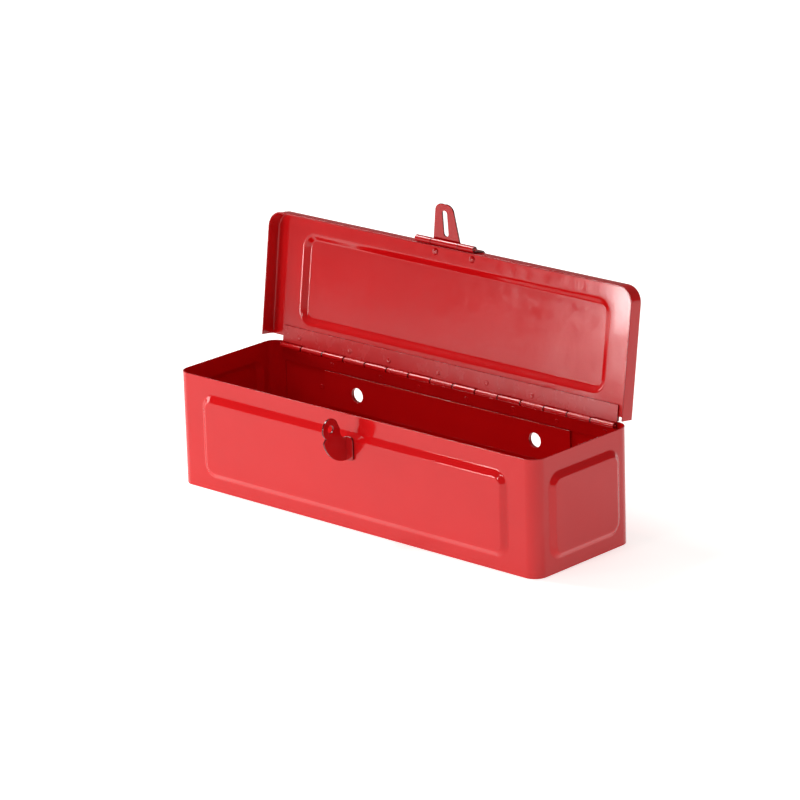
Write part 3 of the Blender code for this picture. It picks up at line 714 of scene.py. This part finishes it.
def makeStaple():
    face = wrapLow.y - gap
    base = shutHaspAxis.y - wrapLow.y + gap
    head, radius = (staple["headReach"], staple["headRise"]), staple["headRadius"]
    distance, lift = math.hypot(*head), math.atan2(head[1], head[0])
    # Where the throat's line from the pin meets the far side of the head
    throat = math.radians(staple["throat"])
    aside = distance * math.sin(throat - lift)
    ray = distance * math.cos(throat - lift) + math.sqrt(radius ** 2 - aside ** 2)
    meet = math.degrees(math.atan2(ray * math.sin(throat) - head[1], ray * math.cos(throat) - head[0]))
    outerStart = -math.degrees(math.acos(base / staple["outer"]))
    innerEnd = -math.degrees(math.acos(base / staple["inner"]))
    outline = arc((0, 0), staple["outer"], outerStart, staple["shoulder"], staple["outerSteps"])
    outline += arc(head, radius, meet, staple["headEnd"], staple["headSteps"])
    outline += arc((0, 0), staple["inner"], staple["tip"], innerEnd, staple["innerSteps"])
    y, z = shutHaspAxis.y, shutHaspAxis.z
    outline = [(y - u, z + v) for u, v in outline][::-1]
    hole = circle((y - head[0], z + head[1]), staple["hole"] / 2, staple["holeSteps"])
    horn = plate("stapleHorn", [outline, hole], staple["sheet"], staple["rounding"], endOn)
    level = [v for u, v in outline if u > face - gap]
    footLine = roundedOutline(
        -staple["sheet"] / 2, staple["foot"], min(level), max(level), staple["footCorner"], 1, 1,
        corner=staple["footSteps"])
    foot = plate(
        "stapleFoot", [footLine], staple["sheet"], staple["rounding"],
        Matrix.Translation((0, face - staple["sheet"] / 2, 0)) @ upright)
    item = merged("staple", [horn, foot])
    fit(item, plateEnamel, "box", "hardware_paint", "staple")


makeStaple()
print("staple on")


# Floor, lights and camera
stage = {
    "floor": "#F4F3F1", "roughness": 0.9, "specular": 0.1, "size": 60.0,
    "glow": (0.66, 0.1), "fade": (0.35, 1.3), "heading": (-0.64, -0.77, 0),
    "world": "#FFFFFF", "worldStrength": 0.12, "sunStrength": 0.95, "sunAngle": 80, "target": (0, 0, 0.1)}


def makeStage():
    pale = bpy.data.materials.new("pale matt paper")
    pale.use_nodes = True
    tree = pale.node_tree
    tree.nodes.clear()
    # The paper glows a little so that it stays white, less so far out where the lid mirrors it
    place = add(tree, "ShaderNodeTexCoord").outputs["Object"]
    ahead = add(tree, "ShaderNodeVectorMath", {0: place, 1: stage["heading"]}, operation='DOT_PRODUCT')
    glow = add(tree, "ShaderNodeMapRange", {
        "Value": ahead.outputs["Value"], "From Min": stage["fade"][0], "From Max": stage["fade"][1],
        "To Min": stage["glow"][0], "To Max": stage["glow"][1]}, interpolation_type='SMOOTHSTEP')
    shader = add(tree, "ShaderNodeBsdfPrincipled", {
        "Base Color": toLinear(stage["floor"]), "Roughness": stage["roughness"],
        "Specular IOR Level": stage["specular"],
        "Emission Color": toLinear(stage["floor"]), "Emission Strength": glow.outputs["Result"]})
    add(tree, "ShaderNodeOutputMaterial", {"Surface": shader.outputs[0]})
    shape = bmesh.new()
    bmesh.ops.create_grid(shape, x_segments=1, y_segments=1, size=stage["size"] / 2)
    mesh = bpy.data.meshes.new("studioFloor")
    shape.to_mesh(mesh)
    shape.free()
    mesh.materials.append(pale)
    newObject("studioFloor", mesh)
    world = bpy.data.worlds.new("studio")
    bpy.context.scene.world = world
    world.use_nodes = True
    background = world.node_tree.nodes["Background"]
    background.inputs["Color"].default_value = toLinear(stage["world"])
    background.inputs["Strength"].default_value = stage["worldStrength"]
    sun = bpy.data.lights.new("overhead", 'SUN')
    sun.energy = stage["sunStrength"]
    sun.angle = math.radians(stage["sunAngle"])
    newObject("overhead", sun)


def towards(azimuth, elevation):
    # Azimuth 0 stands in front of the box, and positive is to its right
    a, e = math.radians(azimuth), math.radians(elevation)
    return Vector((math.sin(a) * math.cos(e), -math.cos(a) * math.cos(e), math.sin(e)))


def softbox(name, azimuth, elevation, distance, width, tall, radiance):
    away = towards(azimuth, elevation)
    light = bpy.data.lights.new(name, 'AREA')
    light.shape = 'RECTANGLE'
    light.size, light.size_y = width, tall
    light.energy = radiance * math.pi * width * tall
    item = newObject(name, light)
    item.location = Vector(stage["target"]) + away * distance
    item.rotation_mode = 'QUATERNION'
    item.rotation_quaternion = away.to_track_quat('Z', 'Y')


makeStage()
# Azimuth, elevation, distance, width, height and radiance of each
softboxes = {
    "keyUpperLeft": (-80, 50, 2.2, 0.7, 0.5, 19.0), "leftPanel": (-72, 9, 1.5, 0.5, 0.5, 5.0),
    "frontStrip": (2, 21, 2.0, 0.14, 0.5, 18.0), "frontPanel": (-29.6, 2.2, 1.85, 0.36, 0.3, 24.0)}
for name, settings in softboxes.items():
    softbox(name, *settings)

shot = {"clip": 100, "azimuth": 42.95, "elevation": 17.69, "roll": -1.73, "distance": 3.495,
        "aim": (0.0016, 0.0941), "lens": 185.4}


def makeCamera():
    away, roll = towards(shot["azimuth"], shot["elevation"]), math.radians(shot["roll"])
    right = Vector((0, 0, 1)).cross(away).normalized()
    up = away.cross(right)
    x = right * math.cos(roll) + up * math.sin(roll)
    y = up * math.cos(roll) - right * math.sin(roll)
    place = Matrix((x, y, away)).transposed().to_4x4()
    # The aim slides the camera along its own right and up
    place.translation = away * shot["distance"] + right * shot["aim"][0] + up * shot["aim"][1]
    camera = bpy.data.cameras.new("camera")
    camera.lens = shot["lens"]
    camera.clip_end = shot["clip"]
    item = newObject("camera", camera)
    item.matrix_world = place
    bpy.context.scene.camera = item


makeCamera()
bpy.context.scene.view_settings.view_transform = 'Standard'
print("studio lit")
